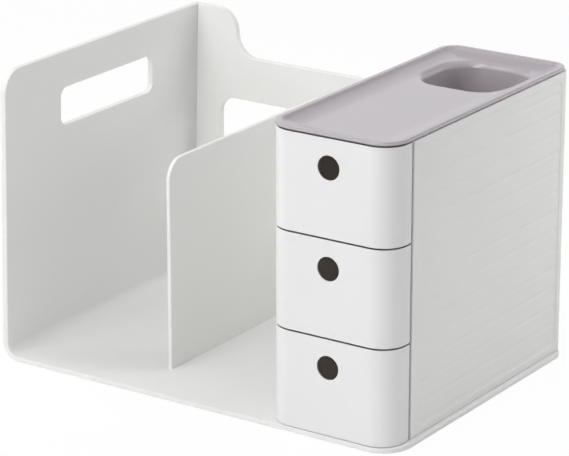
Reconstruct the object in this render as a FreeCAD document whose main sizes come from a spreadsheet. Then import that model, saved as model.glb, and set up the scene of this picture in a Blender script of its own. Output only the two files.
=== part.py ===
"""Desk organizer: a book stand with a divider, beside a cabinet of three drawers under a pen tray.

Millimetres. X runs from the left end to the right end, Y from front to rear, Z up.
The origin is the middle of the footprint, on the surface that the rubber feet stand on.
"""

import FreeCAD, Part
import math
import os
import re

import Sketcher
from FreeCAD import Vector

SIZES = {
    # floor and left end, one bent moulding
    "width": 316.6,  # floor, left to right
    "depth": 225.0,  # floor, front to rear
    "foot_stand": 1.0,  # the floor's underside above the table
    "floor_thick": 3.5,
    "end_thick": 4.3,
    "end_top": 206.6,  # top of the left end above the table
    "end_lean": 4.9,  # how far the left end leans in at its top
    "bend_radius": 12.0,  # outside of the bend between floor and end
    "end_corner": 16.0,  # front top corner of the end
    "edge_soft": 0.7,  # rounding of the floor's and the end's edges
    "handle_long": 106.2,
    "handle_tall": 27.2,
    "handle_low": 153.7,  # lower edge of the handle above the table
    "handle_shift": 0.9,  # centre of the handle from mid depth
    "handle_corner": 6.5,
    # rear panel of the book stand
    "back_thick": 4.0,
    "back_low": 172.4,  # low stretch of its top above the table
    "shoulder_reach": 43.3,  # shoulder's drop from the left end's foot
    "shoulder_radius": 17.1,
    "window_side": 18.6,  # between the right window and the cabinet
    "window_end": 28.9,  # left window's outer edge from the left end's foot
    "window_low": 80.6,
    "window_high": 140.3,
    "window_corner": 12.0,
    "post_wide": 36.6,  # between the two windows, behind the divider
    "panel_soft": 0.7,  # rounding of the rear panel's and the divider's edges
    # divider
    "divider_place": 112.6,  # middle of the divider from the left end's foot
    "divider_thick": 2.9,
    "divider_top": 152.8,
    "divider_setback": 40.0,  # its front edge behind the floor's front edge
    "divider_corner": 15.0,
    # cabinet
    "cabinet_width": 95.3,
    "ledge": 3.2,  # floor past the outer side wall
    "wall_top": 204.6,
    "wall_setback": 25.4,  # front edges of the walls behind the floor's front edge
    "inner_thick": 2.6,
    "outer_thick": 3.0,
    "rear_thick": 2.6,
    "rear_corner": 8.0,
    "rear_return": 14.0,
    # recessed field and grooves of the outer side wall
    "field_front": 7.2,
    "field_rear": 10.5,
    "field_above": 4.8,
    "field_below": 5.2,
    "field_corner": 7.0,
    "field_deep": 0.6,
    "groove_first": 12.2,  # height of the lowest groove above the table
    "groove_spacing": 13.72,
    "groove_count": 14,
    "groove_wide": 4.4,
    "groove_deep": 0.4,
    "groove_inset": 3.4,  # ends of the grooves inside the field's edge
    # tongues of the panels, and the slots that take them
    "tongue_long": 24.0,
    "tongue_thick": 1.4,
    "tongue_deep": 2.2,
    "seat_play": 0.1,  # play between a tongue or panel edge and its seat
    # shelves
    "shelf_thick": 2.0,
    "shelf_groove": 1.1,  # how far a shelf reaches into each wall
    "shelf_rear": 29.5,  # rear edge of a shelf behind mid depth
    "stop_thick": 2.0,
    "stop_deep": 2.5,  # stop rib under a shelf
    # drawers
    "drawer_spacing": 66.9,
    "drawer_travel": 105.0,
    "front_inset": 0.5,  # drawer front behind the floor's front edge
    "front_thick": 1.8,
    "front_lift": 0.3,  # lowest drawer front above the floor
    "front_tall": 66.0,
    "front_corner": 17.5,
    "front_play": 1.8,  # between a front's returns and the walls behind
    "front_soft": 0.7,
    "hole_diameter": 16.2,
    "hole_soft": 0.5,
    "hole_height": 46.5,  # centre above the lower edge of its drawer front
    "box_side_play": 1.0,
    "box_lift": 0.3,
    "box_tall": 60.0,
    "box_deep": 136.0,
    "box_wall": 1.6,
    "box_floor": 1.8,
    "box_front_corner": 17.0,
    "box_rear_corner": 6.0,
    "box_soft": 2.5,
    "tab_wide": 36.0,
    "tab_tall": 3.0,
    "peg_diameter": 4.0,
    "peg_spread": 46.0,
    "peg_low": 16.0,
    "peg_high": 52.0,
    "peg_play": 0.1,
    "rivet_tall": 0.8,  # flattened end of a peg, inside the box wall
    "rivet_spread": 1.2,  # how far it spreads past the peg
    # tray with the pen cup
    "rim_overhang": 0.5,
    "rim_under": 1.4,  # shadow gap under the rim
    "rim_thick": 2.0,
    "rim_wide": 3.4,
    "rim_rear_corner": 13.0,
    "rim_soft": 0.9,
    "neck_inset": 1.4,
    "dish_deep": 3.0,
    "dish_slope": 2.6,  # width of the slope between rim and tray floor
    "dish_round": 6.0,  # rounding where the slope meets the tray floor
    "dish_rear_corner": 6.5,
    "pan_thick": 1.7,
    "pan_play": 0.6,
    "cup_wide": 62.0,
    "cup_long": 61.5,
    "cup_from_right": 44.5,  # middle of the cup from the outer side wall's face
    "cup_from_rear": 49.75,  # middle of the cup from the floor's rear edge
    "cup_corner": 20.0,
    "cup_wall": 1.8,
    "cup_deep": 95.0,
    "cup_base": 2.2,
    "cup_foot_round": 5.0,
    "lip_radius": 4.5,  # rounding from the tray floor down into the cup
    # rubber feet
    "foot_diameter": 12.0,
    "foot_recess": 1.2,
    "foot_play": 0.1,
    "foot_inset": 22.0,
}

CLOSE = 1e-4  # two places nearer than this are the same place

doc = FreeCAD.newDocument("desk_organizer")
sheet = doc.addObject("Spreadsheet::Sheet", "Sizes")
for row, (alias, value) in enumerate(SIZES.items(), start=1):
    sheet.set(f"A{row}", alias)
    sheet.set(f"B{row}", str(value))
    sheet.setAlias(f"B{row}", alias)
doc.recompute()


# places that several pieces share, as expressions of the sheet's sizes
LEFT = "(-width / 2)"
END_FOOT = "(-width / 2 - end_lean * bend_radius / (end_top - foot_stand))"
RIGHT = "(width / 2)"
FRONT = "(-depth / 2)"
REAR = "(depth / 2)"
FLOOR = "(foot_stand + floor_thick)"
DIVIDER = f"({LEFT} + divider_place)"
BACK_FACE = f"({REAR} - back_thick)"
CABINET_RIGHT = f"({RIGHT} - ledge)"
CABINET_LEFT = f"({CABINET_RIGHT} - cabinet_width)"
CABINET_MIDDLE = f"({CABINET_RIGHT} - cabinet_width / 2)"
BAY_LEFT = f"({CABINET_LEFT} + inner_thick)"
BAY_RIGHT = f"({CABINET_RIGHT} - outer_thick)"
WALL_FRONT = f"({FRONT} + wall_setback)"
SHELF_TOP = f"({FLOOR} + drawer_spacing)"
SHELF_UNDER = f"({SHELF_TOP} - shelf_thick)"
FACE = f"({FRONT} + front_inset)"
BOX_FRONT = f"({FACE} + front_thick)"
BOX_REAR = f"({BOX_FRONT} + box_deep)"
BOX_LEFT = f"({BAY_LEFT} + box_side_play)"
BOX_RIGHT = f"({BAY_RIGHT} - box_side_play)"
BOX_BOTTOM = f"({FLOOR} + box_lift)"
BOX_TOP = f"({BOX_BOTTOM} + box_tall)"
FRONT_LOW = f"({FLOOR} + front_lift)"
HOLE_HEIGHT = f"({FRONT_LOW} + hole_height)"
STOP_REAR = f"({BOX_REAR} - box_wall - drawer_travel - box_lift)"
STOP_LOW = f"({SHELF_UNDER} - stop_deep)"
RIM_LOW = "(wall_top + rim_under)"
RIM_TOP = f"({RIM_LOW} + rim_thick)"
TRAY_FLOOR = f"({RIM_TOP} - dish_deep)"
PAN_LOW = f"({TRAY_FLOOR} - pan_thick)"
CUP_X = f"({CABINET_RIGHT} - cup_from_right)"
CUP_Y = f"({REAR} - cup_from_rear)"


def bound(text):
    """The expression with each size's name pointing at its cell."""
    return re.sub(r"[a-z_]+", lambda word: f"Sizes.{word[0]}" if word[0] in SIZES else word[0], text)


def worth(text):
    """The expression's value now."""
    return float(sheet.evalExpression(bound(text)))


def new_body(label):
    body = doc.addObject("PartDesign::Body", label)
    body.Label = label
    return body


def new_sketch(body, name, role, offset="0"):
    """An empty sketch on one of the body's own planes, moved along the plane's normal."""
    sketch = body.newObject("Sketcher::SketchObject", name)
    plane = next(feature for feature in body.Origin.OriginFeatures if feature.Role == role)
    sketch.AttachmentSupport = [(plane, "")]
    sketch.MapMode = "FlatFace"
    sketch.setExpression(".AttachmentOffset.Base.z", bound(offset))
    return sketch


def place_point(sketch, geometry, spot, across, up):
    """Dimension a point from the sketch's origin."""
    here = Vector(worth(across), worth(up), 0)
    for kind, value, text, axis in (("DistanceX", here.x, across, -2), ("DistanceY", here.y, up, -1)):
        if abs(value) < CLOSE:
            sketch.addConstraint(Sketcher.Constraint("PointOnObject", geometry, spot, axis))
            continue
        made = sketch.addConstraint(Sketcher.Constraint(kind, -1, 1, geometry, spot, value))
        sketch.setExpression(f"Constraints[{made}]", bound(text))


def corner_ends(before, corner, after, radius):
    """Where a rounded corner's arc leaves the arriving run and meets the next, and its centre."""
    if radius <= 0:
        return corner, corner, corner
    back = (before - corner).normalize()
    ahead = (after - corner).normalize()
    half = back.getAngle(ahead) / 2
    reach = radius / math.tan(half)
    centre = corner + (back + ahead).normalize() * (radius / math.sin(half))
    return corner + back * reach, corner + ahead * reach, centre


def counterclockwise_arc(first, last, centre, radius):
    """The shorter arc between two points, and whether it sets out from the first of them."""
    from_first = (first - centre).cross(last - centre).z > 0
    start, end = (first, last) if from_first else (last, first)
    angles = [math.atan2(spot.y - centre.y, spot.x - centre.x) for spot in (start, end)]
    circle = Part.Circle(centre, Vector(0, 0, 1), radius)
    sweep = (angles[1] - angles[0]) % (2 * math.pi)
    return Part.ArcOfCircle(circle, angles[0], angles[0] + sweep), from_first


def add_outline(sketch, corners):
    """A closed outline of straight runs. Each corner is (across, up) or (across, up, radius)."""
    spots = [Vector(worth(corner[0]), worth(corner[1]), 0) for corner in corners]
    radii = [worth(corner[2]) if len(corner) > 2 else 0 for corner in corners]
    count = len(corners)
    ends = [corner_ends(spots[i - 1], spots[i], spots[(i + 1) % count], radii[i]) for i in range(count)]
    runs = [sketch.addGeometry(Part.LineSegment(ends[i][1], ends[(i + 1) % count][0])) for i in range(count)]
    for i, corner in enumerate(corners):
        arriving, leaving = runs[i - 1], runs[i]
        if not radii[i]:
            sketch.addConstraint(Sketcher.Constraint("Coincident", arriving, 2, leaving, 1))
            place_point(sketch, leaving, 1, corner[0], corner[1])
            continue
        shape, from_first = counterclockwise_arc(*ends[i], radii[i])
        arc = sketch.addGeometry(shape)
        first, last = (1, 2) if from_first else (2, 1)
        sketch.addConstraint(Sketcher.Constraint("Tangent", arriving, 2, arc, first))
        sketch.addConstraint(Sketcher.Constraint("Tangent", leaving, 1, arc, last))
        made = sketch.addConstraint(Sketcher.Constraint("Radius", arc, radii[i]))
        sketch.setExpression(f"Constraints[{made}]", bound(corner[2]))
        tip = sketch.addGeometry(Part.Point(spots[i]), True)
        sketch.addConstraint(Sketcher.Constraint("PointOnObject", tip, 1, arriving))
        sketch.addConstraint(Sketcher.Constraint("PointOnObject", tip, 1, leaving))
        place_point(sketch, tip, 1, corner[0], corner[1])


def add_box_outline(sketch, low_x, high_x, low_y, high_y, radius=None):
    """A rectangle, with its four corners rounded where a radius is given."""
    tail = () if radius is None else (radius,)
    corners = [(low_x, low_y), (high_x, low_y), (high_x, high_y), (low_x, high_y)]
    add_outline(sketch, [corner + tail for corner in corners])


def add_circle(sketch, across, up, radius):
    centre = Vector(worth(across), worth(up), 0)
    circle = sketch.addGeometry(Part.Circle(centre, Vector(0, 0, 1), worth(radius)))
    made = sketch.addConstraint(Sketcher.Constraint("Radius", circle, worth(radius)))
    sketch.setExpression(f"Constraints[{made}]", bound(radius))
    place_point(sketch, circle, 3, across, up)


def extrude(body, kind, sketch, length, reverse=False, taper=None):
    """A Pad or a Pocket of the sketch. A Pocket has to take something away."""
    before = body.Tip.Shape.Volume if kind == "Pocket" else 0
    feature = body.newObject(f"PartDesign::{kind}", f"{sketch.Name}_{kind}")
    feature.Profile = sketch
    feature.setExpression("Length", bound(length))
    feature.Reversed = reverse
    if taper is not None:
        feature.TaperAngle = taper
    doc.recompute()
    if kind == "Pocket" and feature.Shape.Volume > before - CLOSE:
        raise ValueError(f"{feature.Name} takes nothing away")
    return feature


def pad(body, sketch, length, reverse=False, taper=None):
    return extrude(body, "Pad", sketch, length, reverse, taper)


def pocket(body, sketch, length, reverse=False, taper=None):
    return extrude(body, "Pocket", sketch, length, reverse, taper)


def repeat(body, feature, axis_role, count, pitch):
    """The feature again and again along one of the body's own axes."""
    pattern = body.newObject("PartDesign::LinearPattern", f"{feature.Name}_row")
    pattern.Originals = [feature]
    axis = next(item for item in body.Origin.OriginFeatures if item.Role == axis_role)
    pattern.Direction = (axis, [""])
    pattern.Mode = "Spacing"
    pattern.setExpression("Occurrences", bound(count))
    pattern.setExpression("Offset", bound(pitch))
    body.Tip = pattern
    doc.recompute()
    return pattern


def dress(body, kind, radius, wanted):
    """A Fillet or Chamfer on the edges of the body's last feature that `wanted` picks."""
    base = body.Tip
    edges = [f"Edge{i}" for i, edge in enumerate(base.Shape.Edges, start=1) if wanted(edge)]
    if not edges:
        raise ValueError(f"{body.Label}: no edges for the {kind}")
    feature = body.newObject(f"PartDesign::{kind}", f"{base.Name}_{kind}")
    feature.Base = (base, edges)
    feature.setExpression("Radius" if kind == "Fillet" else "Size", bound(radius))
    doc.recompute()
    return feature


def edge_spots(edge):
    """Three points along an edge."""
    first, last = edge.ParameterRange
    return [edge.valueAt(first + (last - first) * part) for part in (0.0, 0.5, 1.0)]


def lies_at(edge, **places):
    """True if the whole edge lies at the given x, y or z."""
    spots = edge_spots(edge)
    return all(abs(getattr(spot, name) - value) < CLOSE for name, value in places.items() for spot in spots)


def in_box(edge, low, high):
    """True if the edge's three points lie between two corners."""
    return all(low[i] - CLOSE <= spot[i] <= high[i] + CLOSE for spot in edge_spots(edge) for i in range(3))


def tongues_along(low, high):
    """Starts and ends of the two tongues of a panel that runs from low to high."""
    inset = "tongue_long / 2"
    return [
        (f"{low} + {inset}", f"{low} + {inset} + tongue_long"),
        (f"{high} - {inset} - tongue_long", f"{high} - {inset}"),
    ]


def tongue_rectangles(grow="0"):
    """Plan rectangles of every panel's tongues, by panel, grown on all sides for the slots."""
    half = "tongue_thick / 2"
    across_y = {
        "divider": (DIVIDER, f"({FRONT} + divider_setback)", BACK_FACE),
        "cabinet_inner_wall": (f"({CABINET_LEFT} + inner_thick / 2)", WALL_FRONT, REAR),
        "cabinet_outer_wall": (f"({CABINET_RIGHT} - outer_thick / 2)", WALL_FRONT, REAR),
    }
    across_x = {
        "back_panel": (f"({REAR} - back_thick / 2)", f"({LEFT} + bend_radius)", CABINET_LEFT),
        "cabinet_rear_wall": (f"({REAR} - rear_thick / 2)", BAY_LEFT, f"({CABINET_RIGHT} - rear_return)"),
    }
    found = {}
    for name, (middle, low, high) in across_y.items():
        found[name] = [
            (f"{middle} - {half} - {grow}", f"{middle} + {half} + {grow}", f"{a} - {grow}", f"{b} + {grow}")
            for a, b in tongues_along(low, high)
        ]
    for name, (middle, low, high) in across_x.items():
        found[name] = [
            (f"{a} - {grow}", f"{b} + {grow}", f"{middle} - {half} - {grow}", f"{middle} + {half} + {grow}")
            for a, b in tongues_along(low, high)
        ]
    return found


def add_tongues(body):
    """The tongues under a panel, which stand in the floor's slots."""
    sketch = new_sketch(body, f"{body.Name}_tongues", "XY_Plane", FLOOR)
    for rectangle in tongue_rectangles()[body.Name]:
        add_box_outline(sketch, *rectangle)
    pad(body, sketch, "tongue_deep", reverse=True)


def foot_spots():
    """Middles of the six feet: three along the front, three along the rear."""
    columns = (f"({LEFT} + foot_inset)", "0", f"({RIGHT} - foot_inset)")
    rows = (f"({FRONT} + foot_inset)", f"({REAR} - foot_inset)")
    return [(column, line) for line in rows for column in columns]


def make_base_and_end():
    """Floor and left end as one moulding, bent like a bookend, with the handle through the end."""
    body = new_body("base_and_end_panel")
    profile = new_sketch(body, "floor_profile", "XZ_Plane", f"-{FRONT}")
    add_outline(profile, [
        (END_FOOT, "foot_stand", "bend_radius"),
        (RIGHT, "foot_stand"),
        (RIGHT, FLOOR),
        (f"{END_FOOT} + end_thick", FLOOR, "bend_radius - end_thick"),
        (f"{END_FOOT} + end_thick + end_lean", "end_top"),
        (f"{END_FOOT} + end_lean", "end_top"),
    ])
    pad(body, profile, "depth", reverse=True)
    x_end, y_front, y_rear, z_top = worth(RIGHT), worth(FRONT), worth(REAR), worth("end_top")
    dress(body, "Fillet", "end_corner", lambda edge: lies_at(edge, y=y_front, z=z_top))
    dress(body, "Fillet", "front_corner + ledge", lambda edge: lies_at(edge, x=x_end, y=y_front))
    dress(body, "Fillet", "rear_corner + 2 * ledge", lambda edge: lies_at(edge, x=x_end, y=y_rear))
    dress(body, "Fillet", "edge_soft", lambda edge: lies_at(edge, y=y_front))
    handle = new_sketch(body, "handle", "YZ_Plane", END_FOOT)
    add_box_outline(
        handle, "handle_shift - handle_long / 2", "handle_shift + handle_long / 2",
        "handle_low", "handle_low + handle_tall", "handle_corner",
    )
    pocket(body, handle, "2 * (end_thick + end_lean)", reverse=True)
    slots = new_sketch(body, "slots", "XY_Plane", FLOOR)
    for rectangles in tongue_rectangles("seat_play").values():
        for rectangle in rectangles:
            add_box_outline(slots, *rectangle)
    pocket(body, slots, "tongue_deep + seat_play")
    recesses = new_sketch(body, "foot_recesses", "XY_Plane", "foot_stand")
    for across, along in foot_spots():
        add_circle(recesses, across, along, "foot_diameter / 2 + foot_play")
    pocket(body, recesses, "foot_recess", reverse=True)
    return body


def make_back_panel():
    """Rear panel of the book stand: a high shoulder, a low top and two windows."""
    body = new_body("back_panel")
    high_left = f"{END_FOOT} + end_thick + end_lean + seat_play"
    shoulder = f"({LEFT} + shoulder_reach)"
    radius = "min(shoulder_radius; (end_top - back_low) / 2 - seat_play)"
    outline = new_sketch(body, "back_outline", "XZ_Plane", f"-{REAR}")
    add_outline(outline, [
        (f"{END_FOOT} + end_thick + seat_play", FLOOR, "bend_radius - end_thick"),
        (f"{CABINET_LEFT} - seat_play", FLOOR),
        (f"{CABINET_LEFT} - seat_play", "back_low"),
        (shoulder, "back_low", radius),
        (shoulder, "end_top", radius),
        (high_left, "end_top"),
    ])
    pad(body, outline, "back_thick")
    windows = new_sketch(body, "windows", "XZ_Plane", f"-{REAR}")
    spans = [
        (f"{LEFT} + window_end", f"{DIVIDER} - post_wide / 2"),
        (f"{DIVIDER} + post_wide / 2", f"{CABINET_LEFT} - window_side"),
    ]
    for low, high in spans:
        add_box_outline(windows, low, high, "window_low", "window_high", "window_corner")
    pocket(body, windows, "back_thick", reverse=True)
    z_low = worth("back_low") - worth("end_lean")
    faces = (worth(REAR), worth(BACK_FACE))
    low_corner = (worth(LEFT), worth(BACK_FACE), worth("window_low"))
    high_corner = (worth(CABINET_LEFT) - worth("window_corner"), worth(REAR), worth("window_high"))

    def soft(edge):
        on_a_face = any(lies_at(edge, y=face) for face in faces)
        above = all(spot.z > z_low for spot in edge_spots(edge))
        return on_a_face and (above or in_box(edge, low_corner, high_corner))

    dress(body, "Fillet", "panel_soft", soft)
    slot = new_sketch(body, "divider_slot", "XZ_Plane", f"-{BACK_FACE}")
    add_box_outline(
        slot, f"{DIVIDER} - tongue_thick / 2 - seat_play", f"{DIVIDER} + tongue_thick / 2 + seat_play",
        f"{FLOOR} + tongue_long - seat_play", f"{FLOOR} + 2 * tongue_long + seat_play",
    )
    pocket(body, slot, "tongue_deep + seat_play")
    add_tongues(body)
    return body


def make_divider():
    """Upright divider of the book stand, with a rounded front corner."""
    body = new_body("divider")
    front = f"({FRONT} + divider_setback)"
    outline = new_sketch(body, "divider_outline", "YZ_Plane", f"{DIVIDER} - divider_thick / 2")
    add_outline(outline, [
        (front, FLOOR),
        (BACK_FACE, FLOOR),
        (BACK_FACE, "divider_top"),
        (front, "divider_top", "divider_corner"),
    ])
    pad(body, outline, "divider_thick")
    sides = [worth(f"{DIVIDER} {sign} divider_thick / 2") for sign in ("-", "+")]
    y_rear, z_floor = worth(BACK_FACE), worth(FLOOR)

    def soft(edge):
        on_a_side = any(lies_at(edge, x=side) for side in sides)
        return on_a_side and not lies_at(edge, y=y_rear) and not lies_at(edge, z=z_floor)

    dress(body, "Fillet", "panel_soft", soft)
    add_tongues(body)
    rear = new_sketch(body, "rear_tongue", "XZ_Plane", f"-{BACK_FACE}")
    add_box_outline(
        rear, f"{DIVIDER} - tongue_thick / 2", f"{DIVIDER} + tongue_thick / 2",
        f"{FLOOR} + tongue_long", f"{FLOOR} + 2 * tongue_long",
    )
    pad(body, rear, "tongue_deep", reverse=True)
    return body


def cut_shelf_grooves(body, wall_face, inward):
    """Two grooves in a cabinet wall that hold the shelves' edges."""
    sketch = new_sketch(body, f"{body.Name}_groove", "YZ_Plane", wall_face)
    add_box_outline(
        sketch, f"{WALL_FRONT} + shelf_thick", "shelf_rear + seat_play",
        f"{SHELF_UNDER} - seat_play", f"{SHELF_TOP} + seat_play",
    )
    groove = pocket(body, sketch, "shelf_groove + seat_play", reverse=inward)
    repeat(body, groove, "Z_Axis", "2", "drawer_spacing")


def make_inner_wall():
    """Cabinet wall on the book side."""
    body = new_body("cabinet_inner_wall")
    outline = new_sketch(body, "inner_outline", "YZ_Plane", CABINET_LEFT)
    add_box_outline(outline, WALL_FRONT, REAR, FLOOR, "wall_top")
    pad(body, outline, "inner_thick")
    cut_shelf_grooves(body, BAY_LEFT, False)
    add_tongues(body)
    return body


def make_outer_wall():
    """Cabinet wall on the outside: a rounded rear return and a recessed field of grooves."""
    body = new_body("cabinet_outer_wall")
    plan = new_sketch(body, "outer_plan", "XY_Plane", FLOOR)
    add_outline(plan, [
        (CABINET_RIGHT, WALL_FRONT),
        (CABINET_RIGHT, REAR, "rear_corner"),
        (f"{CABINET_RIGHT} - rear_return", REAR),
        (f"{CABINET_RIGHT} - rear_return", f"{REAR} - rear_thick"),
        (BAY_RIGHT, f"{REAR} - rear_thick", "rear_corner - outer_thick"),
        (BAY_RIGHT, WALL_FRONT),
    ])
    pad(body, plan, f"wall_top - {FLOOR}")
    field = new_sketch(body, "field", "YZ_Plane", CABINET_RIGHT)
    add_box_outline(
        field, f"{WALL_FRONT} + field_front", f"{REAR} - field_rear",
        f"{FLOOR} + field_below", "wall_top - field_above", "field_corner",
    )
    pocket(body, field, "field_deep", taper=-45)
    face = f"({CABINET_RIGHT} - field_deep)"
    notch = new_sketch(body, "groove_notch", "XZ_Plane", f"-({WALL_FRONT} + field_front + groove_inset)")
    add_outline(notch, [
        (face, "groove_first - groove_wide / 2"),
        (face, "groove_first + groove_wide / 2"),
        (f"{face} - groove_deep", "groove_first"),
    ])
    length = f"{REAR} - field_rear - {WALL_FRONT} - field_front - 2 * groove_inset"
    groove = pocket(body, notch, length)
    repeat(body, groove, "Z_Axis", "groove_count", "groove_spacing")
    cut_shelf_grooves(body, BAY_RIGHT, True)
    add_tongues(body)
    return body


def make_rear_wall():
    """Rear of the cabinet, between the inner wall and the outer wall's return."""
    body = new_body("cabinet_rear_wall")
    outline = new_sketch(body, "rear_outline", "XZ_Plane", f"-{REAR}")
    add_box_outline(
        outline, f"{BAY_LEFT} + seat_play", f"{CABINET_RIGHT} - rear_return - seat_play", FLOOR, "wall_top",
    )
    pad(body, outline, "rear_thick")
    add_tongues(body)
    return body


def make_shelf(label, level):
    """Shelf over drawer number `level`, with a rib under it that stops that drawer."""
    body = new_body(label)
    plan = new_sketch(body, f"{label}_plan", "XY_Plane", SHELF_UNDER)
    add_box_outline(
        plan, f"{BAY_LEFT} - shelf_groove", f"{BAY_RIGHT} + shelf_groove",
        f"{WALL_FRONT} + shelf_thick + seat_play", "shelf_rear",
    )
    pad(body, plan, "shelf_thick")
    rib = new_sketch(body, f"{label}_stop", "XY_Plane", SHELF_UNDER)
    add_box_outline(
        rib, f"{BAY_LEFT} + seat_play", f"{BAY_RIGHT} - seat_play", f"{STOP_REAR} - stop_thick", STOP_REAR,
    )
    pad(body, rib, "stop_deep", reverse=True)
    body.setExpression(".Placement.Base.z", bound(f"{level} * drawer_spacing"))
    return body


def peg_spots():
    """Middles of the four pegs that hold a drawer front to its box."""
    sides = [f"{CABINET_MIDDLE} {sign} peg_spread / 2" for sign in ("-", "+")]
    heights = [f"{FRONT_LOW} + peg_low", f"{FRONT_LOW} + peg_high"]
    return [(across, up) for across in sides for up in heights]


def make_drawer_front(label, level):
    """Drawer front that wraps both corners, with a finger hole and four pegs behind."""
    body = new_body(label)
    ends = f"({WALL_FRONT} - front_play)"
    inside_left, inside_right = f"{CABINET_LEFT} + front_thick", f"{CABINET_RIGHT} - front_thick"
    plan = new_sketch(body, f"{label}_plan", "XY_Plane", FRONT_LOW)
    add_outline(plan, [
        (CABINET_LEFT, ends),
        (CABINET_LEFT, FACE, "front_corner"),
        (CABINET_RIGHT, FACE, "front_corner"),
        (CABINET_RIGHT, ends),
        (inside_right, ends),
        (inside_right, BOX_FRONT, "front_corner - front_thick"),
        (inside_left, BOX_FRONT, "front_corner - front_thick"),
        (inside_left, ends),
    ])
    pad(body, plan, "front_tall")
    y_face, z_low, z_high = worth(FACE), worth(FRONT_LOW), worth(f"{FRONT_LOW} + front_tall")
    dress(body, "Fillet", "front_soft", lambda edge: (
        lies_at(edge, y=y_face) and (lies_at(edge, z=z_low) or lies_at(edge, z=z_high))
    ))
    pegs = new_sketch(body, f"{label}_pegs", "XZ_Plane", f"-{BOX_FRONT}")
    for across, up in peg_spots():
        add_circle(pegs, across, up, "peg_diameter / 2")
    pad(body, pegs, "box_wall", reverse=True)
    rivets = new_sketch(body, f"{label}_rivets", "XZ_Plane", f"-({BOX_FRONT} + box_wall)")
    for across, up in peg_spots():
        add_circle(rivets, across, up, "peg_diameter / 2 + rivet_spread")
    pad(body, rivets, "rivet_tall", reverse=True)
    hole = new_sketch(body, f"{label}_hole", "XZ_Plane", f"-{FACE}")
    add_circle(hole, CABINET_MIDDLE, HOLE_HEIGHT, "hole_diameter / 2")
    pocket(body, hole, "front_thick")
    radius = worth("hole_diameter / 2")

    def is_mouth(edge):
        round_edge = lies_at(edge, y=y_face) and edge.Curve.TypeId == "Part::GeomCircle"
        return round_edge and abs(edge.Curve.Radius - radius) < CLOSE

    dress(body, "Fillet", "hole_soft", is_mouth)
    body.setExpression(".Placement.Base.z", bound(f"{level} * drawer_spacing"))
    return body


def make_drawer_box(label, level):
    """Open drawer box, with a tab at the rear that meets the stop rib."""
    body = new_body(label)
    plan = new_sketch(body, f"{label}_plan", "XY_Plane", BOX_BOTTOM)
    add_outline(plan, [
        (BOX_LEFT, BOX_FRONT, "box_front_corner"),
        (BOX_RIGHT, BOX_FRONT, "box_front_corner"),
        (BOX_RIGHT, BOX_REAR, "box_rear_corner"),
        (BOX_LEFT, BOX_REAR, "box_rear_corner"),
    ])
    pad(body, plan, "box_tall")
    z_low = worth(BOX_BOTTOM)
    dress(body, "Fillet", "box_soft", lambda edge: lies_at(edge, z=z_low))
    inside = new_sketch(body, f"{label}_inside", "XY_Plane", BOX_TOP)
    add_outline(inside, [
        (f"{BOX_LEFT} + box_wall", f"{BOX_FRONT} + box_wall", "box_front_corner - box_wall"),
        (f"{BOX_RIGHT} - box_wall", f"{BOX_FRONT} + box_wall", "box_front_corner - box_wall"),
        (f"{BOX_RIGHT} - box_wall", f"{BOX_REAR} - box_wall", "box_rear_corner - box_wall"),
        (f"{BOX_LEFT} + box_wall", f"{BOX_REAR} - box_wall", "box_rear_corner - box_wall"),
    ])
    pocket(body, inside, "box_tall - box_floor")
    z_floor = worth(f"{BOX_BOTTOM} + box_floor")
    dress(body, "Fillet", "box_soft", lambda edge: lies_at(edge, z=z_floor))
    tab = new_sketch(body, f"{label}_tab", "XY_Plane", BOX_TOP)
    add_box_outline(
        tab, f"{CABINET_MIDDLE} - tab_wide / 2", f"{CABINET_MIDDLE} + tab_wide / 2",
        f"{BOX_REAR} - box_wall", BOX_REAR,
    )
    pad(body, tab, "tab_tall")
    holes = new_sketch(body, f"{label}_holes", "XZ_Plane", f"-{BOX_FRONT}")
    add_circle(holes, CABINET_MIDDLE, HOLE_HEIGHT, "hole_diameter / 2")
    for across, up in peg_spots():
        add_circle(holes, across, up, "peg_diameter / 2 + peg_play")
    pocket(body, holes, "box_wall")
    body.setExpression(".Placement.Base.z", bound(f"{level} * drawer_spacing"))
    return body


def add_tray_outline(sketch, inset, front_edge=None, rear_radius=None):
    """The tray's outline drawn in by `inset`: round at the front, or cut straight at a front edge."""
    low_x = f"{CABINET_LEFT} - rim_overhang + {inset}"
    high_x = f"{CABINET_RIGHT} + rim_overhang - {inset}"
    rear = f"{REAR} - {inset}"
    front_tail = () if front_edge else (f"front_corner + rim_overhang - {inset}",)
    rear_tail = (rear_radius or f"rim_rear_corner - {inset}",)
    front = front_edge or f"{FRONT} + {inset}"
    add_outline(sketch, [
        (low_x, front) + front_tail,
        (high_x, front) + front_tail,
        (high_x, rear) + rear_tail,
        (low_x, rear) + rear_tail,
    ])


def add_cup_outline(sketch, grow="0"):
    """The pen cup's plan, grown on all sides."""
    add_box_outline(
        sketch, f"{CUP_X} - cup_wide / 2 - {grow}", f"{CUP_X} + cup_wide / 2 + {grow}",
        f"{CUP_Y} - cup_long / 2 - {grow}", f"{CUP_Y} + cup_long / 2 + {grow}", f"cup_corner + {grow}",
    )


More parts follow.
